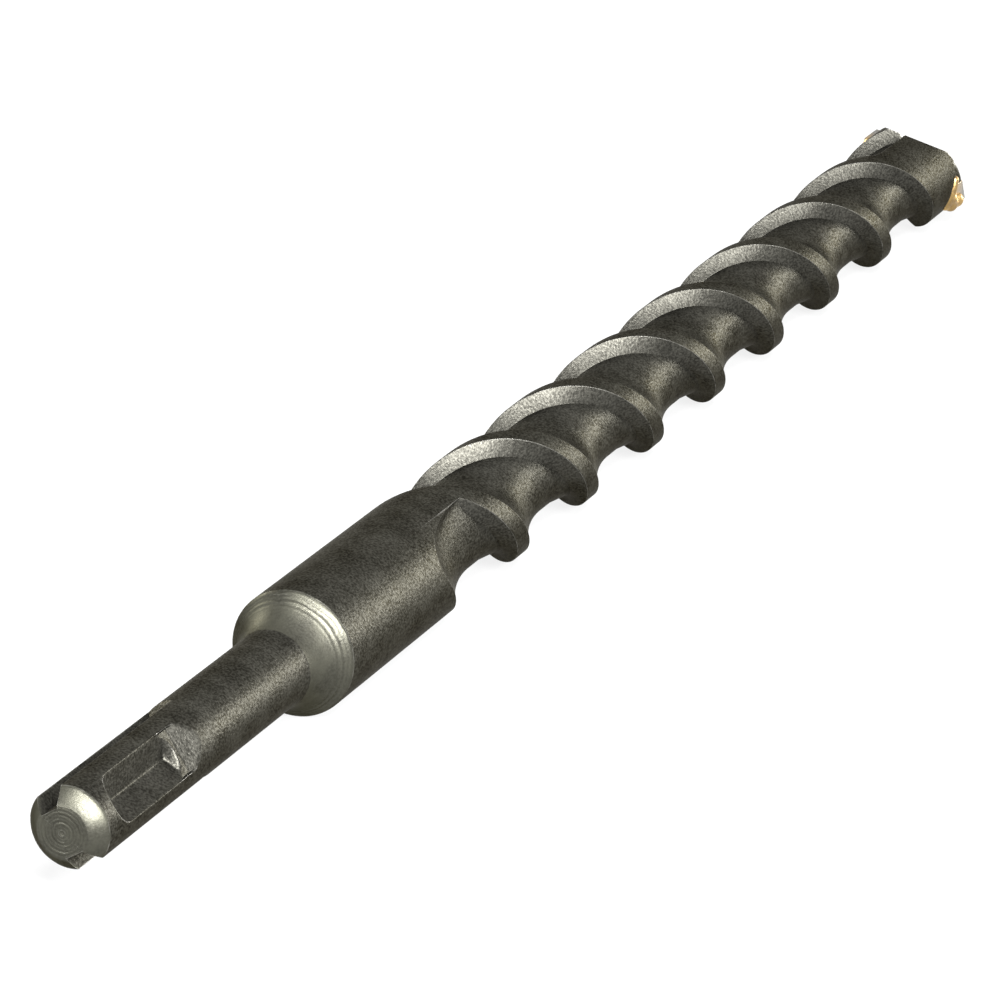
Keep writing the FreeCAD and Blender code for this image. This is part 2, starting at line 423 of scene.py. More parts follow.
@dataclass(frozen=True)
class BlastedSteel(Finish):
    """Hardened steel, shot blasted to a dark satin with bright edges.

    Attributes:
        edges, lathe: Node groups of the edge wear and of the turned rings.
        dark, light: Colours in the pits and on the peaks.
        cut, bare: Colours of turned faces and of rubbed edges.
        rim: How much of the light it throws back at a grazing view.
        roughness, bump: Roughness away from the edges, and depth of the grain in metres.
        grain_share: Part of the tone that the fine pits give, the rest being the mottling.
        cut_least: How far turned faces show their own colour where the mottling is darkest.
        ring_tone: How much the rings change that colour.
        wear_tone, wear_shine: How far worn edges turn bare, and how much smoother they are.
        turned_calm: How much of the grain turning has removed.
    """

    edges: NodeTree
    lathe: NodeTree
    dark: Color = (0.0250, 0.0242, 0.0208)
    light: Color = (0.0780, 0.0760, 0.0655)
    cut: Color = (0.082, 0.081, 0.064)
    bare: Color = (0.40, 0.39, 0.36)
    rim: Color = (0.36, 0.35, 0.33)
    roughness: float = 0.42
    bump: float = 0.00005
    grain_share: float = 0.75
    cut_least: float = 0.35
    ring_tone: float = 0.08
    wear_tone: float = 0.5
    wear_shine: float = 0.12
    turned_calm: float = 0.6

    def build(self) -> Material:
        """Makes the material."""
        material, sheet, shader = principled(self.label)
        grit = sheet.group(self.grit)
        wear = sheet.group(self.edges)["Wear"]
        lathe = sheet.group(self.lathe)
        clouds, rings, turned = grit["Clouds"], lathe["Rings"], lathe["Turned"]
        tone = sheet.add(
            sheet.times(grit["Pits"], self.grain_share), sheet.times(clouds, 1 - self.grain_share)
        )
        base = sheet.mix(tone, (*self.dark, 1), (*self.light, 1))
        shown = sheet.add(self.cut_least, sheet.times(clouds, 1 - self.cut_least))
        shown = sheet.add(shown, sheet.times(rings, self.ring_tone))
        base = sheet.mix(sheet.times(shown, turned), base, (*self.cut, 1))
        base = sheet.mix(sheet.times(wear, self.wear_tone), base, (*self.bare, 1))
        rough = sheet.add(self.roughness, sheet.times(clouds, 0.08))
        rough = sheet.less(rough, sheet.times(wear, self.wear_shine))
        left = sheet.less(1.0, sheet.times(turned, self.turned_calm))
        height = sheet.add(sheet.times(grit["Height"], left), sheet.times(rings, 0.5))
        bump = sheet.put("ShaderNodeBump", Strength=0.6, Distance=self.bump, Height=height)
        sheet.fill(shader, Base_Color=base, Metallic=1.0, Specular_Tint=(*self.rim, 1),
                   Roughness=rough, Normal=bump.outputs["Normal"])
        return material


@dataclass(frozen=True)
class SinteredCarbide(Finish):
    """Dense grey carbide with a fine powdery skin and a warm stain from the brazing.

    Attributes:
        dark, light: Colours of the skin.
        stain: Colour where braze has wetted it.
        stain_from, stain_to: Where the stain at the heel fades, along X in metres.
        stain_depth: How far the stain covers the skin.
    """

    dark: Color = (0.100, 0.095, 0.081)
    light: Color = (0.22, 0.21, 0.183)
    stain: Color = (0.40, 0.27, 0.12)
    stain_from: float = 0.1415
    stain_to: float = 0.1450
    stain_depth: float = 0.7

    def build(self) -> Material:
        """Makes the material."""
        material, sheet, shader = principled(self.label)
        grit = sheet.group(self.grit, Grain=5200.0, Mottle=420.0)
        base = sheet.mix(grit["Pits"], (*self.dark, 1), (*self.light, 1))
        along = sheet.put("ShaderNodeSeparateXYZ", Vector=sheet.place()).outputs["X"]
        heel = sheet.less(1.0, sheet.ramp(along, self.stain_from, self.stain_to))
        wetted = sheet.math("MAXIMUM", sheet.ramp(grit["Clouds"], 0.8, 1.2), heel)
        base = sheet.mix(sheet.times(wetted, self.stain_depth), base, (*self.stain, 1))
        bump = sheet.put("ShaderNodeBump", Strength=0.4, Distance=0.00001, Height=grit["Height"])
        sheet.fill(shader, Base_Color=base, Metallic=0.9, Roughness=0.36,
                   Normal=bump.outputs["Normal"])
        return material


@dataclass(frozen=True)
class BrazeAlloy(Finish):
    """Gold coloured braze, smooth where it froze and dull where flux has stained it.

    Attributes:
        bright, dull: Colours of clean and of stained braze.
    """

    bright: Color = (0.45, 0.296, 0.109)
    dull: Color = (0.25, 0.169, 0.077)

    def build(self) -> Material:
        """Makes the material."""
        material, sheet, shader = principled(self.label)
        grit = sheet.group(self.grit, Grain=1800.0, Mottle=700.0)
        base = sheet.mix(grit["Clouds"], (*self.dull, 1), (*self.bright, 1))
        rough = sheet.add(0.32, sheet.times(grit["Pits"], 0.16))
        bump = sheet.put("ShaderNodeBump", Strength=0.3, Distance=0.00003, Height=grit["Clouds"])
        sheet.fill(shader, Base_Color=base, Metallic=1.0, Roughness=rough,
                   Normal=bump.outputs["Normal"])
        return material


# Sizes


@dataclass(frozen=True)
class Blank:
    """The turned bar before anything is cut from it."""

    overall_length: float = 300.0
    shank_length: float = 54.4
    shoulder_length: float = 5.8
    end_chamfer_length: float = 2.0
    end_face_radius: float = 3.1
    shank_radius: float = 5.0
    body_radius: float = 8.1
    rim_chamfer: float = 0.25
    shoulder_hollow: float = 0.45
    chamfer_belly: float = 0.12
    head_setback: float = 5.5

    @property
    def steel_front(self) -> float:
        """Where the steel ends, short of the carbide's point."""
        return self.overall_length - self.head_setback

    @property
    def collar_start(self) -> float:
        """Where the full body radius begins, past the shoulder's rim."""
        return self.shank_length + self.shoulder_length + self.rim_chamfer

    def to_frame(self, along: float, across: float, up: float) -> Vector:
        """Turns a point given from the end face and the axis into the frame's metres.

        Args:
            along: Distance from the shank's end face.
            across: Distance from the axis along +Y.
            up: Distance from the axis along +Z.

        Returns:
            The point in metres.
        """
        return Vector((along - self.overall_length / 2, across, up + self.body_radius)) * MM


@dataclass(frozen=True)
class Slots:
    """The two open driving slots of the shank."""

    angle: float = 58.2
    floor: float = 2.78
    half_width: float = 1.3
    flare: float = 14.0
    full_depth_length: float = 23.0
    wheel_radius: float = 12.5
    floor_share: float = 0.8

    def level(self, along: float) -> float:
        """Gives the slot floor's distance from the axis at a place along the shank."""
        past = min(max(along - self.full_depth_length, 0.0), self.wheel_radius)
        return self.floor + self.wheel_radius - math.sqrt(self.wheel_radius ** 2 - past ** 2)

    def mouth(self, radius: float) -> float:
        """Gives half the slot's width where its walls meet the bar."""
        flare = tangent(self.flare)
        half = self.half_width
        for _ in range(20):
            out = math.sqrt(max(radius ** 2 - half ** 2, 0.01))
            half = self.half_width + (out - self.floor) * flare
        return half

    def place(self, share: float, radius: float, along: float) -> tuple[float, float]:
        """Places a point of the slot's outline in the slot's own axes.

        Args:
            share: Place across the slot, from -1 at one mouth edge to 1 at the other.
            radius: The bar's radius there.
            along: Distance from the end face.

        Returns:
            Distances out from the axis and across the slot.
        """
        mouth = self.mouth(radius)
        level = self.level(along)
        floor_half = self.half_width + (level - self.floor) * tangent(self.flare)
        part = abs(share)
        if part <= self.floor_share:
            out, over = level, part / self.floor_share * floor_half
        else:
            rise = (part - self.floor_share) / (1 - self.floor_share)
            out = between(level, math.sqrt(radius ** 2 - mouth ** 2), rise)
            over = between(floor_half, mouth, rise)
        reach = math.hypot(out, over)
        if reach > radius:
            out, over = out * radius / reach, over * radius / reach
        return out, math.copysign(over, share)


@dataclass(frozen=True)
class Grooves:
    """The two closed locking grooves of the shank, each a V trough with round ends.

    A ramp runs out of the trough's far end. The shelf keeps the ramp from cutting the V walls
    too low, and the bank rounds the ramp's own end.
    """

    angle: float = 148.2
    half_width: float = 3.1
    start: float = 4.3
    end: float = 22.4
    floor: float = 2.2
    wall_angle: float = 60.0
    end_wall_angle: float = 30.0
    keel_round: float = 0.12
    ramp_end: float = 25.8
    ramp_angle: float = 25.0
    bank_slope: float = 4.0
    bank_lift: float = 0.1
    shelf_drop: float = 0.4
    shelf_onset: float = 3.0
    shelf_lead: float = 0.7
    shelf_clear: float = 0.05
    lip: float = 0.22

    def place(self, across: float, radius: float, along: float) -> float:
        """Gives the surface's distance out from the axis, at a place over the groove.

        Args:
            across: Distance across the groove.
            radius: The bar's radius there.
            along: Distance from the end face.

        Returns:
            The distance out along the groove's own direction.
        """
        bar = math.sqrt(max(radius ** 2 - across ** 2, 0.0))
        wall, draft = tangent(self.wall_angle), tangent(self.end_wall_angle)
        slope = tangent(self.ramp_angle)
        edge_level = self.floor + self.half_width / wall
        low = self.half_width - (edge_level - self.floor) * draft
        first = self.start + self.half_width + (radius - edge_level) * draft
        last = self.end - self.half_width
        beyond = max(first - along, along - last, 0.0)
        trough = self.floor + math.hypot(across, self.keel_round) / wall
        ends = self.floor + (math.hypot(across, beyond) - low) / draft
        pocket = -soft_min(-trough, -ends, self.lip)
        ledge = self.ramp_end - (radius - edge_level) / slope
        round_off = math.hypot(across, max(along - self.ramp_end + self.half_width, 0.0))
        bank = edge_level + (round_off - self.half_width + self.bank_lift) * self.bank_slope
        onset = min(max((along - last + self.shelf_lead) / self.shelf_onset, 0.0), 1.0)
        drop = bar + self.shelf_clear - edge_level + self.shelf_drop
        shelf = bar + self.shelf_clear - drop * onset * onset * (3 - 2 * onset)
        plane = max(edge_level + (along - ledge) * slope, shelf)
        ramp = -soft_min(-plane, -bank, self.lip)
        return soft_min(bar, soft_min(pocket, ramp, self.lip), self.lip)


@dataclass(frozen=True)
class Flutes:
    """The two helical flutes, measured in a plane through the axis."""

    start: float = 101.9
    start_angle: float = 119.7
    stop_angle: float = 100.2
    lead: float = 48.0
    land_width: float = 3.95
    core_radius: float = 5.2
    flank_foot_radius: float = 5.9
    flank_lean: float = 1.2
    foot_rise_length: float = 5.8
    floor_flat_length: float = 3.5
    run_out_angle: float = 57.0
    stop_length: float = 16.0
    edge_round: float = 0.16
    foot_round: float = 0.5

    @property
    def width(self) -> float:
        """A flute's width along the axis."""
        return self.lead / 2 - self.land_width

    def turn(self, blank: Blank) -> float:
        """Gives the angle that a flute turns through before it stops at the head."""
        part = (self.stop_angle - self.start_angle) / 360
        reach = (blank.steel_front - self.start) / self.lead
        return 360 * (part + math.floor(reach - part))

    def outline(self, blank: Blank) -> list[tuple[float, float]]:
        """Lists the flute's section from its far edge to the land behind its steep flank.

        Args:
            blank: The bar that the flute is cut in.

        Returns:
            Pairs of place along the axis, from the land's edge, and depth below the bar.
        """
        depth = blank.body_radius - self.core_radius
        foot_depth = blank.body_radius - self.flank_foot_radius
        slope_length = self.width - self.flank_lean - self.foot_rise_length - self.floor_flat_length
        arc_radius = (slope_length ** 2 + depth ** 2) / (2 * depth)
        arc_angle = math.asin(slope_length / arc_radius)
        foot = -self.flank_lean
        rise = foot - self.foot_rise_length
        flat = rise - self.floor_flat_length
        soft = self.edge_round
        points = [(-self.width - soft, 0.0), (-self.width - soft * 0.3, soft * 0.03)]
        for step in range(1, 12):
            angle = arc_angle * (1 - step / 11.5)
            sunk = depth - arc_radius * (1 - math.cos(angle))
            points.append((flat - arc_radius * math.sin(angle), sunk))
        points += [(between(flat, rise, share), depth) for share in (0.0, 0.5, 1.0)]
        for share in (0.25, 0.5, 0.75, 0.9):
            points.append((between(rise, foot, share), between(depth, foot_depth, share)))
        lean = self.flank_lean / foot_depth
        for share in (0.0, 0.35, 1.0):
            up, left = self.foot_round * share, 1 - share
            points.append((foot + up * lean * 0.8 - 0.12 * left, foot_depth - up + 0.02 * left))
        for sunk in (foot_depth * 0.55, foot_depth * 0.3, soft * 1.6, soft * 0.7, soft * 0.25):
            points.append((-sunk * lean, sunk))
        points += [(soft * 0.35, soft * 0.04), (soft, 0.0)]
        return points + [(self.land_width * share, 0.0) for share in (0.35, 0.65)]


@dataclass(frozen=True)
class Head:
    """The facets ground on the steel around the plate."""

    roof_lean: float = 53.0
    flat_lean: float = 20.0
    flat_offset: float = 4.3
    flat_turn: float = -5.6

    def facets(self, angle: float) -> list[tuple[float, float, float]]:
        """Lists the facets as turn, offset from the axis at the front, and lean."""
        found = []
        for turn in (angle, angle + 180):
            found.append((turn, 0.0, self.roof_lean))
            found.append((turn + self.flat_turn, self.flat_offset, self.flat_lean))
        return found


@dataclass(frozen=True)
class Plate:
    """The carbide plate across the head."""

    angle: float = 201.2
    diameter: float = 18.0
    thickness: float = 3.6
    height: float = 11.2
    heel_radius: float = 3.5
    braze_gap: float = 0.12

    def cutter(self, blank: Blank) -> Object:
        """Makes the cutter of the slot that the plate sits in.

        Args:
            blank: The bar.

        Returns:
            A slab across the bar, open past its front, with two rounded corners at its heel.
        """
        radius, soft = self.diameter, self.heel_radius
        heel = blank.overall_length - self.height - self.braze_gap
        half = self.thickness / 2 + self.braze_gap
        rim = [(radius, blank.overall_length + 5)]
        for step in range(13):
            turn = math.radians(90 * step / 12)
            rim.append((radius - soft * (1 - math.cos(turn)), heel + soft * (1 - math.sin(turn))))
        rim += [(-out, along) for out, along in reversed(rim)]
        bm = bmesh.new()
        sides = []
        for across in (-half, half):
            dy, dz = around(across, self.angle + 90)
            ring = []
            for out, along in rim:
                y, z = around(out, self.angle)
                ring.append(bm.verts.new(blank.to_frame(along, y + dy, z + dz)))
            sides.append(ring)
            bm.faces.new(ring)
        stitch(bm, *sides)
        bmesh.ops.recalc_face_normals(bm, faces=bm.faces[:])
        return placed("seat_cutter", poured(bm, "seat_cutter"))


# The steel


@dataclass(frozen=True)
class Column:
    """One line of the steel's mesh that runs along the bar.

    Attributes:
        angle: Angle about the axis where the bar is plain.
        zone: What the column follows near the shank's end.
        middle: Angle of the slot or groove that it belongs to.
        share: Place across a slot, from -1 to 1.
    """

    angle: float
    zone: Zone = Zone.PLAIN
    middle: float = 0.0
    share: float = 0.0


@dataclass
class SteelBody:
    """The one piece of steel from the shank's end face to the head."""

    blank: Blank = field(default_factory=Blank)
    slots: Slots = field(default_factory=Slots)
    grooves: Grooves = field(default_factory=Grooves)
    flutes: Flutes = field(default_factory=Flutes)
    head: Head = field(default_factory=Head)
    plate: Plate = field(default_factory=Plate)
    rim_rings: int = 30
    numbers: tuple[str, ...] = ("fluted", "turn", "helix", "reach", "sink")

    def columns(self) -> list[Column]:
        """Lists the mesh's columns once around the bar, by angle.

        Returns:
            The columns, closer together where a flute starts and over the grooves.
        """
        shank = self.blank.shank_radius
        mouth = math.degrees(math.asin(self.slots.mouth(shank) / shank))
        brim = math.degrees(math.asin(self.grooves.half_width / shank))
        shares = [-1, -0.975, -0.93, -0.865, -0.82, -0.8, -0.76, -0.6, -0.4, -0.2]
        shares += [0] + [-s for s in reversed(shares)]
        fine = [0.0, 1.0] + [1.0 + (brim - 3.0) * i / 15 for i in range(1, 16)]
        fine += [brim + past for past in (-1.2, -0.6, 0.0, 0.7, 1.6, 3.0)]
        found: list[Column] = []
        for side in (0, 180):
            slot = self.slots.angle + side
            groove = self.grooves.angle + side
            begin = self.flutes.start_angle + side
            starts = [begin + lag for lag in (-0.3, 0.0, 0.12, 0.4, 0.9, 1.7)]
            plain = [groove + a for a in fine] + [groove - a for a in fine[1:]]
            plain = [a for a in plain if not starts[0] - 0.5 < a < starts[-1] + 0.5]
            found += [Column(slot + mouth * s, Zone.SLOT, slot, s) for s in shares]
            found += [Column(a, Zone.GROOVE, groove) for a in plain + starts]
            gaps = ((slot + mouth, groove - fine[-1]), (groove + fine[-1], slot + 180 - mouth))
            for low, high in gaps:
                inner = [low + 0.9, low + 2.2] + spread((low + 4.5, high - 2.0, 5))
                found += [Column(a) for a in inner]
            stop = self.flutes.stop_angle + side
            found += [Column(stop - 2.0), Column(stop)]
        turned = [Column(c.angle % 360, c.zone, c.middle, c.share) for c in found]
        return sorted(turned, key=lambda c: c.angle)

    def rows(self) -> list[tuple[float, float]]:
        """Lists the rings from the end face's rim to the collar, as place and radius.

        Returns:
            Pairs of distance from the end face and radius of the bar.
        """
        blank = self.blank
        rings: list[tuple[float, float]] = []
        for step in range(9):
            share = step / 8
            belly = blank.chamfer_belly * 4 * share * (1 - share)
            radius = between(blank.end_face_radius, blank.shank_radius, share)
            along = blank.end_chamfer_length * share + 0.04 * (step == 0)
            rings.append((along - belly * 0.69, radius + belly * 0.72))
        places = spread(
            (2.25, 4.0, 4), (4.0, 8.6, 30), (8.6, 18.6, 14), (18.6, 26.4, 52), (26.4, 31.2, 14)
        ) + [36.0, 42.0, 48.0, 52.0, blank.shank_length - 0.35]
        rings += [(along, blank.shank_radius) for along in places]
        rise = blank.body_radius - blank.rim_chamfer - blank.shank_radius
        for step in range(43):
            share = step / 42
            hollow = blank.shoulder_hollow * 4 * share * (1 - share)
            hollow += 0.022 * math.sin(share * 42 * math.pi / 3) * (share > 0.68)
            radius = blank.shank_radius + rise * share - hollow * 0.9
            along = blank.shank_length + blank.shoulder_length * share + hollow * 0.44
            rings.append((along, max(radius, blank.shank_radius)))
        for past, short in ((-0.12, 0.14), (0.04, 0.02), (0.25, 0.0)):
            rings.append((blank.collar_start + past, blank.body_radius - short))
        return rings

    def ring_point(self, column: Column, along: float, radius: float) -> Vector:
        """Places one vertex of the shank, the shoulder or the collar.

        Args:
            column: The vertex's column.
            along: Distance from the end face.
            radius: The bar's radius there.

        Returns:
            The vertex in the frame.
        """
        out, over = around(radius, column.angle - column.middle)
        grooved = along < self.grooves.ramp_end + 0.6 and radius >= self.blank.shank_radius - 0.001
        if column.zone is Zone.SLOT and self.slots.level(along) < radius + 0.02:
            out, over = self.slots.place(column.share, radius, along)
        elif column.zone is Zone.GROOVE and grooved:
            out = self.grooves.place(over, radius, along)
        angle = column.middle + math.degrees(math.atan2(over, out))
        return self.blank.to_frame(along, *around(math.hypot(out, over), angle))

    def end_face(self, bm: BMesh, rim: Ring) -> None:
        """Closes the shank's end with a faintly ringed face.

        Args:
            bm: The mesh.
            rim: The first ring's vertices.
        """
        centre = self.blank.to_frame(0, 0, 0)
        outer = rim
        for step in range(1, self.rim_rings):
            share = 1 - step / self.rim_rings
            sink = 0.02 + 0.02 * math.cos(share * 26 * math.pi / 3) + 0.05 * (share < 0.1)
            ring = []
            for vert in rim:
                place = centre + (vert.co - centre) * share
                place.x = centre.x + sink * MM
                ring.append(bm.verts.new(place))
            for index, vert in enumerate(outer):
                follow = (index + 1) % len(outer)
                bm.faces.new((vert, ring[index], ring[follow], outer[follow]))
            outer = ring
        hub = bm.verts.new(centre + Vector((0.08 * MM, 0, 0)))
        for index, vert in enumerate(outer):
            bm.faces.new((vert, hub, outer[(index + 1) % len(outer)]))

    def lattice(self) -> Mesh:
        """Builds the mesh with its shank shaped and its fluted part still to be screwed.

        Returns:
            A mesh whose fluted vertices carry the numbers that the helix is made from.
        """
        columns = self.columns()
        bm = bmesh.new()
        layers = [bm.verts.layers.float.new(name) for name in self.numbers]
        previous: Ring = []
        for along, radius in self.rows():
            ring = [bm.verts.new(self.ring_point(c, along, radius)) for c in columns]
            if previous:
                stitch(bm, previous, ring)
            else:
                self.end_face(bm, ring)
            previous = ring
        outline = self.flutes.outline(self.blank)
        grid: list[Ring] = []
        for band in range(-3, 10):
            for reach, sink in outline:
                line = []
                for column in columns:
                    vert = bm.verts.new((0, 0, 0))
                    helix = column.angle - self.flutes.start_angle + 180 * band
                    carried = (1, column.angle, helix, reach * MM, sink * MM)
                    for layer, value in zip(layers, carried):
                        vert[layer] = value
                    line.append(vert)
                grid.append(line)
        for index in range(len(grid) - 1):
            for place in range(len(columns)):
                shift = 2 * len(outline) if place == len(columns) - 1 else 0
                if index + 1 + shift >= len(grid):
                    continue
                follow = (place + 1) % len(columns)
                low, high = grid[index + shift][follow], grid[index + 1 + shift][follow]
                bm.faces.new((grid[index][place], low, high, grid[index + 1][place]))
        return poured(bm, "steel_lattice")

    def helix_values(self) -> dict[str, float]:
        """Gives the helix tree's inputs by name, in metres and degrees."""
        return {
            "Lead": self.flutes.lead * MM,
            "Flute Start": self.flutes.start * MM,
            "Body Radius": self.blank.body_radius * MM,
            "Run-out Angle": self.flutes.run_out_angle,
            "Flute Turn": self.flutes.turn(self.blank),
            "Stop Length": self.flutes.stop_length,
            "Low End": (self.blank.collar_start + 0.25) * MM,
            "High End": self.blank.steel_front * MM,
            "Half Length": self.blank.overall_length / 2 * MM,
        }

    def helix_tree(self) -> NodeTree:
        """Builds the Geometry Nodes tree that screws the flutes into the bar.

        Returns:
            The tree, whose inputs are the flutes' sizes in metres and degrees.
        """
        tree = bpy.data.node_groups.new("screw_flutes", "GeometryNodeTree")
        face = tree.interface
        for side in ("INPUT", "OUTPUT"):
            face.new_socket("Geometry", in_out=side, socket_type="NodeSocketGeometry")
        for label in self.helix_values():
            face.new_socket(label, in_out="INPUT", socket_type="NodeSocketFloat")
        face.new_socket("Finish", in_out="INPUT", socket_type="NodeSocketMaterial")
        sheet = NodeSheet(tree)
        given = sheet.put("NodeGroupInput").outputs
        fluted, turn, helix, reach, sink = (
            sheet.put("GeometryNodeInputNamedAttribute", {"data_type": "FLOAT"}, Name=name).outputs[
                "Attribute"
            ]
            for name in self.numbers
        )
        left = sheet.less(1.0, sheet.math("DIVIDE", helix, given["Run-out Angle"], clamp=True))
        scale = sheet.math("SQRT", sheet.less(1.0, sheet.times(left, left)))
        climb = sheet.times(sheet.math("DIVIDE", helix, 360.0), given["Lead"])
        along = sheet.add(sheet.add(given["Flute Start"], climb), sheet.times(reach, scale))
        along = sheet.math("MINIMUM", along, given["High End"])
        along = sheet.math("MAXIMUM", along, given["Low End"])
        left = sheet.less(given["Flute Turn"], helix)
        cut = sheet.math("DIVIDE", left, given["Stop Length"], clamp=True)
        radius = sheet.less(given["Body Radius"], sheet.times(sheet.times(sink, scale), cut))
        turn = sheet.math("RADIANS", turn)
        up = sheet.times(radius, sheet.math("SINE", turn))
        place = sheet.put(
            "ShaderNodeCombineXYZ",
            X=sheet.less(along, given["Half Length"]),
            Y=sheet.times(radius, sheet.math("COSINE", turn)),
            Z=sheet.add(up, given["Body Radius"]),
        )
        moved = sheet.put(
            "GeometryNodeSetPosition",
            Geometry=given["Geometry"],
            Selection=sheet.math("GREATER_THAN", fluted, 0.5),
            Position=place.outputs[0],
        )
        real = sheet.put("GeometryNodeRealizeInstances", Geometry=moved.outputs[0])
        dressed = sheet.put(
            "GeometryNodeSetMaterial", Geometry=real.outputs[0], Material=given["Finish"]
        )
        sheet.put("NodeGroupOutput", Geometry=dressed.outputs[0])
        return tree

    def screw(self, mesh: Mesh, finish: Material) -> Mesh:
        """Runs the helix tree over the lattice.

        Args:
            mesh: The lattice.
            finish: The steel's material.

        Returns:
            The fluted mesh, free of modifiers.
        """
        holder = placed("screwing", mesh)
        modifier = holder.modifiers.new("screw", "NODES")
        modifier.node_group = self.helix_tree()
        values = {**self.helix_values(), "Finish": finish}
        for item in modifier.node_group.interface.items_tree:
            if item.name in values:
                modifier[item.identifier] = values[item.name]
        made = baked(holder)
        bpy.data.objects.remove(holder)
        return made

    def grind(self, bm: BMesh) -> None:
        """Cuts the head's facets and closes the front."""
        front = self.blank.to_frame(self.blank.steel_front, 0, 0)
        bmesh.ops.holes_fill(bm, edges=[e for e in bm.edges if e.is_boundary])
        for turn, offset, lean in self.head.facets(self.plate.angle):
            outward = Vector((0, *around(1.0, turn + 90)))
            tilt = math.radians(lean)
            cut = bmesh.ops.bisect_plane(
                bm,
                geom=bm.verts[:] + bm.edges[:] + bm.faces[:],
                dist=1e-7,
                plane_co=front + outward * offset * MM,
                plane_no=outward * math.cos(tilt) + Vector((1, 0, 0)) * math.sin(tilt),
                clear_outer=True,
            )
            rim = [e for e in cut["geom_cut"] if isinstance(e, BMEdge) and e.is_valid]
            bmesh.ops.holes_fill(bm, edges=[e for e in rim if e.is_boundary])

    def mark_turned(self, mesh: Mesh) -> None:
        """Writes which vertices are turned and which of those show rings.

        Args:
            mesh: The mesh, which gets the attributes turned, one on the end face, its chamfer
                and the shoulder, and ringed, one on the end face and by the shoulder's rim.
        """
        blank = self.blank
        flat = np.empty(len(mesh.vertices) * 3)
        mesh.vertices.foreach_get("co", flat)
        x, y, z = flat.reshape(-1, 3).T
        along = x / MM + blank.overall_length / 2
        out = np.hypot(y, z - blank.body_radius * MM) / MM
        end_face = along < 0.2
        rim = between(blank.end_face_radius, blank.shank_radius, along / blank.end_chamfer_length)
        chamfer = (along < blank.end_chamfer_length + 0.05) & (out > rim - 0.25)
        shoulder = (along > blank.shank_length + 0.25) & (along < blank.collar_start + 0.1)
        ringed = end_face | (shoulder & (out > blank.body_radius - 1.1))
        for name, chosen in (("turned", shoulder | chamfer | end_face), ("ringed", ringed)):
            layer = mesh.attributes.new(name, "FLOAT", "POINT")
            layer.data.foreach_set("value", chosen.astype(np.float32))

    def build(self, finish: Material) -> Object:
        """Makes the steel piece and puts it on the frame.

        Args:
            finish: The steel's material.

        Returns:
            The finished object.
        """
        bm = opened(self.screw(self.lattice(), finish))
        bmesh.ops.remove_doubles(bm, verts=bm.verts[:], dist=2e-6)
        bmesh.ops.dissolve_degenerate(bm, edges=bm.edges[:], dist=1e-7)
        self.grind(bm)
        bmesh.ops.recalc_face_normals(bm, faces=bm.faces[:])
        piece = placed("steel", poured(bm, "steel"))
        cutter = self.plate.cutter(self.blank)
        modifier = piece.modifiers.new("seat", "BOOLEAN")
        modifier.object = cutter
        modifier.solver = "EXACT"
        modifier.operation = "DIFFERENCE"
        final = baked(piece)
        piece.modifiers.clear()
        piece.data = final
        bpy.data.objects.remove(cutter)
        for name in self.numbers:
            if name in final.attributes:
                final.attributes.remove(final.attributes[name])
        dress(final, finish)
        self.mark_turned(final)
        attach(piece, "root")
        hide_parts(Member.STEEL.value)
        return piece


# The plate and its braze


def solid_copy(source: Object) -> BMesh:
    """Copies a frame object's mesh in the frame's coordinates, with its flat faces whole."""
    bm = opened(source.data)
    bmesh.ops.transform(bm, matrix=source.matrix_world, verts=bm.verts[:])
    bmesh.ops.remove_doubles(bm, verts=bm.verts[:], dist=1e-6)
    bmesh.ops.dissolve_limit(bm, angle_limit=0.02, verts=bm.verts[:], edges=bm.edges[:])
    return bm


def settle_faces(bm: BMesh) -> None:
    """Splits the faces of more than four sides and turns all faces outward."""
    bmesh.ops.triangulate(bm, faces=[f for f in bm.faces if len(f.verts) > 4])
    bmesh.ops.recalc_face_normals(bm, faces=bm.faces[:])


@dataclass(frozen=True)
class CarbideTip:
    """The carbide plate, taken from the frame's solid with softened edges.

    Attributes:
        softness: How far its edges are rounded, in millimetres.
        sharp: The bend in radians from which an edge is rounded.
    """

    softness: float = 0.8
    sharp: float = 0.35

    def build(self, source: Object, finish: Material) -> Object:
        """Makes the plate and puts it on the frame.

        Args:
            source: The frame's object.
            finish: The plate's material.

        Returns:
            The finished object.
        """
        bm = solid_copy(source)
        chosen = [
            e for e in bm.edges if len(e.link_faces) == 2 and e.calc_face_angle(0.0) > self.sharp
        ]
        bmesh.ops.bevel(bm, geom=chosen, offset=self.softness * MM, offset_type="OFFSET",
                        segments=4, profile=0.5, affect="EDGES", clamp_overlap=True)
        settle_faces(bm)
        made = placed("carbide_tip_skin", poured(bm, "carbide_tip_skin"))
        dress(made.data, finish)
        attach(made, "root")
        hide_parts(Member.CARBIDE.value)
        return made


@dataclass(frozen=True)
class Drop:
    """A ball of molten metal, given from the bit's axis and the plate's own direction.

    Attributes:
        along, out: Distances from the shank's end face and from the axis.
        lag: Angle past the plate.
        size: The ball's reach. It freezes at about two thirds of this.
    """

    along: float
    out: float
    lag: float
    size: float


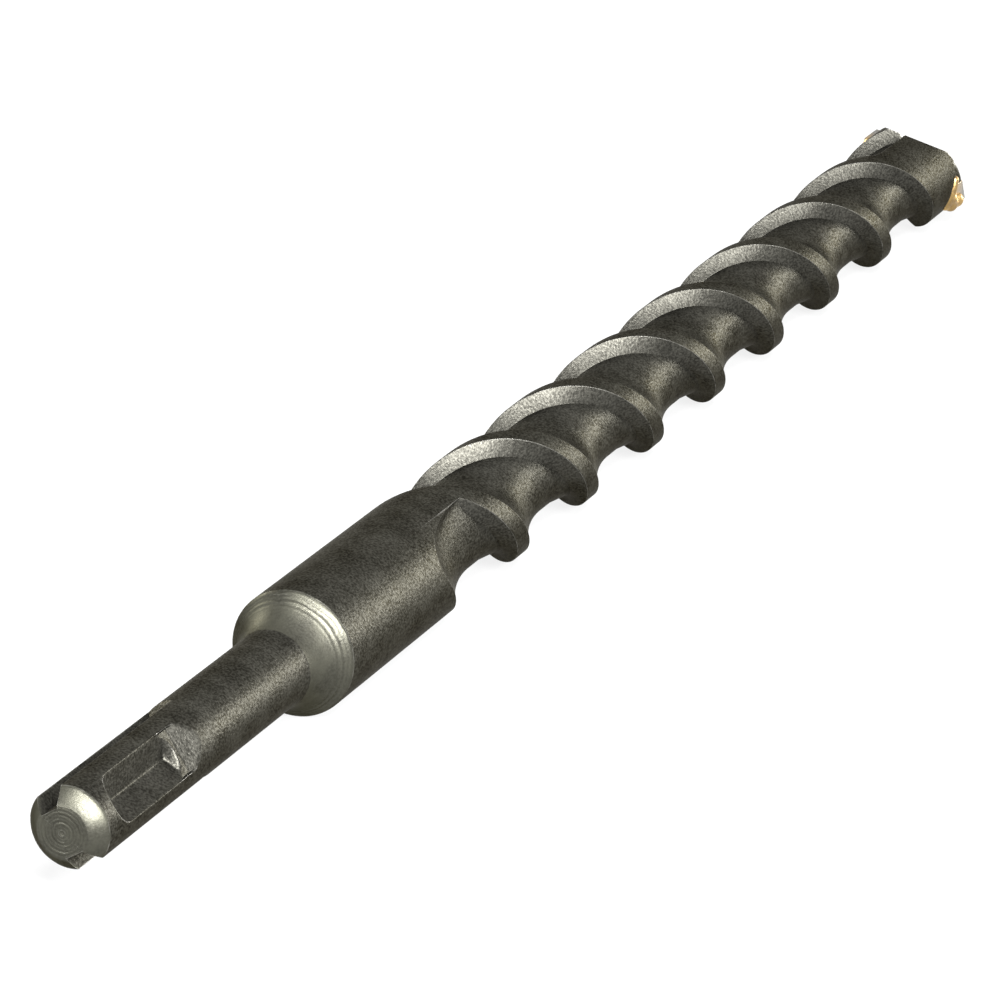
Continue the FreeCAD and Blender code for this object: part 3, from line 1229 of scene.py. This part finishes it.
@dataclass
class BrazeSeam:
    """The braze film of the plate, with a flowed bead and a frozen drop at both ends.

    Attributes:
        band_from, band_to: Angles past the plate between which the bead runs.
        band_along, band_sag: Its middle's distance from the end face, and how much further
            on its ends lie.
        band_out, band_size: Its balls' distance from the axis, and their size.
        flush_radius: How far out the film reaches.
        large, small: The drops at the end that the photograph shows, and at the other.
    """

    blank: Blank = field(default_factory=Blank)
    plate: Plate = field(default_factory=Plate)
    band_from: float = -21.0
    band_to: float = 15.0
    band_along: float = 289.6
    band_sag: float = 0.5
    band_out: float = 7.85
    band_count: int = 31
    band_size: float = 0.95
    flush_radius: float = 8.0
    large: tuple[Drop, ...] = (
        Drop(292.6, 8.4, 7.5, 1.85),
        Drop(291.2, 8.2, 11.5, 1.85),
        Drop(290.4, 7.9, 3.0, 1.6),
    )
    small: tuple[Drop, ...] = (Drop(292.2, 8.1, 4.0, 1.3),)

    def band(self) -> list[Drop]:
        """Lists the balls that flow together around the plate's heel."""
        found = []
        for step in range(self.band_count):
            share = step / (self.band_count - 1)
            along = self.band_along + self.band_sag * (1 - math.sin(share * math.pi))
            lag = between(self.band_from, self.band_to, share)
            found.append(Drop(along, self.band_out, lag, self.band_size))
        return found

    def bead(self) -> Mesh:
        """Flows the balls of both ends together into one smooth mesh."""
        ball = bpy.data.metaballs.new("bead")
        ball.resolution = 0.14
        ball.threshold = 0.35
        for turn, frozen in ((0, self.large), (180, self.small)):
            for drop in self.band() + list(frozen):
                y, z = around(drop.out, self.plate.angle + turn + drop.lag)
                element = ball.elements.new()
                element.co = (
                    drop.along - self.blank.overall_length / 2, y, z + self.blank.body_radius
                )
                element.radius = drop.size
        holder = placed("bead", ball)
        mesh = baked(holder)
        bpy.data.objects.remove(holder)
        mesh.transform(Matrix.Scale(MM, 4))
        return mesh

    def build(self, source: Object, finish: Material) -> Object:
        """Makes the braze and puts it on the frame.

        Args:
            source: The frame's object.
            finish: The braze's material.

        Returns:
            The finished object.
        """
        bm = solid_copy(source)
        settle_faces(bm)
        centre = self.blank.body_radius * MM
        flush = self.flush_radius * MM
        for vert in bm.verts:
            reach = math.hypot(vert.co.y, vert.co.z - centre)
            if reach > flush:
                vert.co.y *= flush / reach
                vert.co.z = centre + (vert.co.z - centre) * flush / reach
        bm.from_mesh(self.bead())
        made = placed("braze", poured(bm, "braze_skin"))
        dress(made.data, finish)
        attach(made, "root")
        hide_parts(Member.BRAZE.value)
        return made


# The studio


@dataclass(frozen=True)
class Lamp:
    """A rectangular soft lamp that faces the middle of the bit.

    Attributes:
        azimuth: Compass angle from +X towards +Y.
        height: Angle above the floor.
        distance, size: Metres from the middle of the bit, and width and height in metres.
        power: Watts.
    """

    name: str
    azimuth: float
    height: float
    distance: float
    size: tuple[float, float]
    power: float

    def hang(self) -> None:
        """Puts the lamp in the scene."""
        light = bpy.data.lights.new(self.name, "AREA")
        light.shape = "RECTANGLE"
        light.size, light.size_y = self.size
        light.energy = self.power
        turn, lift = math.radians(self.azimuth), math.radians(self.height)
        flat = math.cos(lift)
        way = Vector((flat * math.cos(turn), flat * math.sin(turn), math.sin(lift)))
        made = placed(self.name, light)
        made.location = way * self.distance
        made.rotation_euler = (-way).to_track_quat("-Z", "Y").to_euler()


@dataclass
class Studio:
    """The pale floor, the surroundings, the soft lamps and the camera.

    Attributes:
        floor_half: Half the floor's side in metres.
        floor_grey, floor_glow: The floor's own colour, and its brightness where it is seen.
        fill: How bright the surroundings are where they only give light.
        camera_place, camera_target: The camera and what it looks at, in metres.
        lens: Focal length on a 36 mm sensor.
    """

    floor_half: float = 4.0
    floor_grey: float = 0.10
    floor_glow: float = 0.82
    fill: float = 0.35
    camera_place: tuple[float, float, float] = (-0.632445, -0.256119, 0.237902)
    camera_target: tuple[float, float, float] = (-0.028366, -0.001287, 0.0081)
    lens: float = 191.88
    lamps: tuple[Lamp, ...] = (
        Lamp("strip", -34, 8, 1.3, (0.50, 0.30), 15),
        Lamp("rear_left", 152, 24, 1.2, (0.50, 0.40), 10),
        Lamp("front", -126, 27, 1.2, (0.30, 0.30), 37),
        Lamp("front_left", -141, 45, 1.2, (0.30, 0.30), 32),
        Lamp("high_left", -165, 62, 1.2, (0.30, 0.30), 17),
        Lamp("rear_right", 66, 24, 1.2, (0.20, 0.20), 6.5),
    )

    def seen(self, sheet: NodeSheet) -> NodeSocket:
        """Adds a mask that is one for the camera, for gloss and for clear bodies."""
        path = sheet.put("ShaderNodeLightPath").outputs
        mask = sheet.math("MAXIMUM", path["Is Camera Ray"], path["Is Glossy Ray"])
        return sheet.math("MAXIMUM", mask, path["Is Transmission Ray"])

    def floor(self) -> None:
        """Lays the floor."""
        bm = bmesh.new()
        bmesh.ops.create_grid(bm, x_segments=1, y_segments=1, size=self.floor_half)
        material, sheet, shader = principled("floor_paint")
        sheet.fill(
            shader,
            Base_Color=(self.floor_grey, self.floor_grey, self.floor_grey, 1),
            Roughness=1.0,
            Specular_IOR_Level=0.0,
            Emission_Color=WHITE,
            Emission_Strength=sheet.times(self.seen(sheet), self.floor_glow),
        )
        made = placed("floor", poured(bm, "floor"))
        made.data.materials.append(material)

    def world(self) -> None:
        """Lights the surroundings: white to the camera, dark behind it, dimmer as fill."""
        world = bpy.data.worlds.new("studio")
        bpy.context.scene.world = world
        world.use_nodes = True
        world.node_tree.nodes.clear()
        sheet = NodeSheet(world.node_tree)
        way = sheet.put("ShaderNodeTexCoord").outputs["Generated"]
        rise = sheet.put("ShaderNodeSeparateXYZ", Vector=way).outputs["Z"]
        colour = sheet.mix(sheet.ramp(rise, 0.5, 0.9), WHITE, (0.8, 0.8, 0.8, 1))
        back = (Vector(self.camera_place) - Vector(self.camera_target)).normalized()
        toward = sheet.put("ShaderNodeVectorMath", {"operation": "DOT_PRODUCT"})
        sheet.feed(toward, 0, way)
        sheet.feed(toward, 1, tuple(back))
        dusk = sheet.ramp(toward.outputs["Value"], 0.55, 0.9)
        colour = sheet.mix(dusk, colour, (0.05, 0.05, 0.05, 1))
        camera = sheet.put("ShaderNodeLightPath").outputs["Is Camera Ray"]
        colour = sheet.mix(camera, colour, WHITE)
        strength = sheet.add(self.fill, sheet.times(self.seen(sheet), 1 - self.fill))
        light = sheet.put("ShaderNodeBackground", Color=colour, Strength=strength)
        sheet.put("ShaderNodeOutputWorld", Surface=light.outputs[0])

    def camera(self) -> None:
        """Sets up the camera at the photograph's viewpoint."""
        data = bpy.data.cameras.new("camera")
        data.sensor_width = 36
        data.lens = self.lens
        data.clip_start = 0.01
        made = placed("camera", data)
        made.location = Vector(self.camera_place)
        gaze = Vector(self.camera_target) - Vector(self.camera_place)
        made.rotation_euler = gaze.to_track_quat("-Z", "Y").to_euler()
        bpy.context.scene.camera = made

    def build(self) -> None:
        """Sets up everything around the bit."""
        self.floor()
        self.world()
        for lamp in self.lamps:
            lamp.hang()
        self.camera()
        bpy.context.scene.view_settings.view_transform = "Standard"


def main() -> None:
    """Builds the bit on its frame and reports each piece."""
    logging.basicConfig(level=logging.INFO, format="%(message)s")
    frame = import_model()
    grit = grit_group()
    Studio().build()
    LOG.info("studio ready")
    finish = BlastedSteel("steel_finish", grit, edge_group(), lathe_group()).build()
    steel = SteelBody().build(finish)
    LOG.info("steel body: %d faces", len(steel.data.polygons))
    nodes = frame["nodes"]
    finish = SinteredCarbide("carbide_finish", grit).build()
    carbide = CarbideTip().build(nodes[Member.CARBIDE.value], finish)
    LOG.info("carbide tip: %d faces", len(carbide.data.polygons))
    finish = BrazeAlloy("braze_finish", grit).build()
    braze = BrazeSeam().build(nodes[Member.BRAZE.value], finish)
    LOG.info("braze seam: %d faces", len(braze.data.polygons))


if __name__ == "__main__":
    main()
